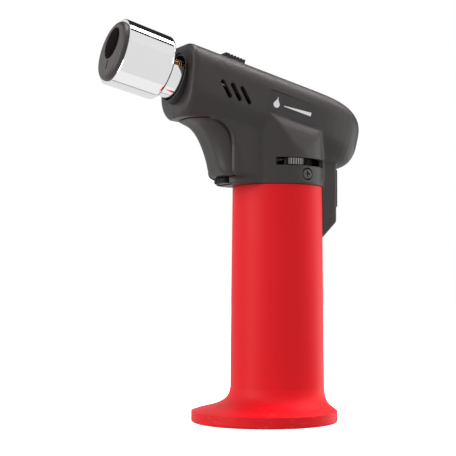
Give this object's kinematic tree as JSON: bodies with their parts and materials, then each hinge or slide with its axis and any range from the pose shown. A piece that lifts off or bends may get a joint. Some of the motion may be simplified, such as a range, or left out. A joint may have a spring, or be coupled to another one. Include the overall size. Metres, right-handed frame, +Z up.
{
  "type": "butane torch",
  "caption": "Hand-held butane torch for jewellery work: round handle on a wide foot, tilted head with trigger, side adjuster slot and plated barrel.",
  "frame": {"origin": "on the handle's axis, on the plane the foot stands on", "axes": "+Z up the handle, -X the way the burner points, +Y the side from which the housing screws go in"},
  "size_m": [0.1191, 0.0614, 0.163],
  "materials": {
    "handle_red": "satin soft-touch moulding",
    "shell_black": "fine satin grain",
    "control_black": "satin",
    "label_dark": "satin with a pale printed mark",
    "insert_dark": "heat-proof dark coat",
    "plated_chrome": "polished",
    "brass": "turned",
    "steel": "bright",
    "screw_black": "blackened",
    "burnt_steel": "dulled by heat",
    "tank_plastic": "milky translucent",
    "cap_plastic": "moulded",
    "seal_rubber": "matt",
    "tube_soft": "matt",
    "lead_red": "insulated wire",
    "ceramic_white": "unglazed"
  },
  "bodies": {
    "torch": {"handle_shell": "handle_red", "base_plate": "shell_black", "base_screws": "steel", "fuel_tank": "tank_plastic", "tank_cap": "cap_plastic", "tank_ring": "seal_rubber", "fill_valve_body": "brass", "fill_valve_seal": "seal_rubber", "fill_valve_spring": "steel", "dip_tube": "tube_soft", "gas_valve_body": "brass", "valve_spring": "steel", "adjuster_clip": "steel", "piezo_body": "cap_plastic", "ignition_lead": "lead_red", "spark_insulator": "ceramic_white", "electrode": "steel", "flame_guard": "plated_chrome", "nose_insert": "insert_dark", "flame_tube": "burnt_steel", "burner_tube": "brass", "gas_jet": "brass", "gas_tube": "tube_soft", "neck_trough": "plated_chrome", "mouth_ring": "control_black", "trigger_springs": "steel", "housing_left": "shell_black", "housing_right": "shell_black", "housing_screws": "screw_black", "label_plate": "label_dark", "spine_pad": "control_black"},
    "trigger": {"trigger": "shell_black"},
    "igniter_slide": {"piezo_plunger": "control_black"},
    "rocker": {"gas_rocker": "cap_plastic"},
    "outlet_stem": {"valve_stem": "brass"},
    "adjuster": {"gas_adjuster": "control_black"},
    "air_control": {"air_slider": "control_black", "air_collar": "steel"},
    "lock": {"safety_lock": "control_black"},
    "fill_stem": {"fill_valve_stem": "brass"}
  },
  "joints": [
    {"name": "trigger_pull", "type": "slide", "parent": "torch", "child": "trigger", "axis": [1, 0, 0], "range_m": [0, 0.005], "stiffness_N_per_m": 1500, "deforming": ["trigger_springs"]},
    {"name": "igniter_push", "type": "slide", "parent": "torch", "child": "igniter_slide", "axis": [1, 0, 0], "range_m": [0, 0.005]},
    {"name": "rocker_tilt", "type": "hinge", "parent": "torch", "child": "rocker", "pos_m": [-0.01, 0, 0.1122], "axis": [0, -1, 0], "range_deg": [0, 6]},
    {"name": "outlet_lift", "type": "slide", "parent": "torch", "child": "outlet_stem", "axis": [0, 0, 1], "range_m": [0, 0.001], "deforming": ["valve_spring"]},
    {"name": "flame_adjust", "type": "hinge", "parent": "torch", "child": "adjuster", "pos_m": [0, 0, 0.108], "axis": [0, 0, 1], "range_deg": [-13, 50]},
    {"name": "air_slide", "type": "slide", "parent": "torch", "child": "air_control", "axis": [0.9707, 0, -0.2402], "range_m": [0, 0.0025]},
    {"name": "lock_slide", "type": "slide", "parent": "torch", "child": "lock", "axis": [0, 1, 0], "range_m": [-0.0015, 0.0015]},
    {"name": "fill_push", "type": "slide", "parent": "torch", "child": "fill_stem", "axis": [0, 0, 1], "range_m": [0, 0.0015], "stiffness_N_per_m": 400, "deforming": ["fill_valve_spring"]}
  ],
  "couplings": [
    {"joint": "igniter_push", "follows": "trigger_pull", "ratio": 1},
    {"joint": "rocker_tilt", "follows": "trigger_pull", "rad_per_m": 20.94},
    {"joint": "outlet_lift", "follows": "trigger_pull", "ratio": 0.2}
  ]
}
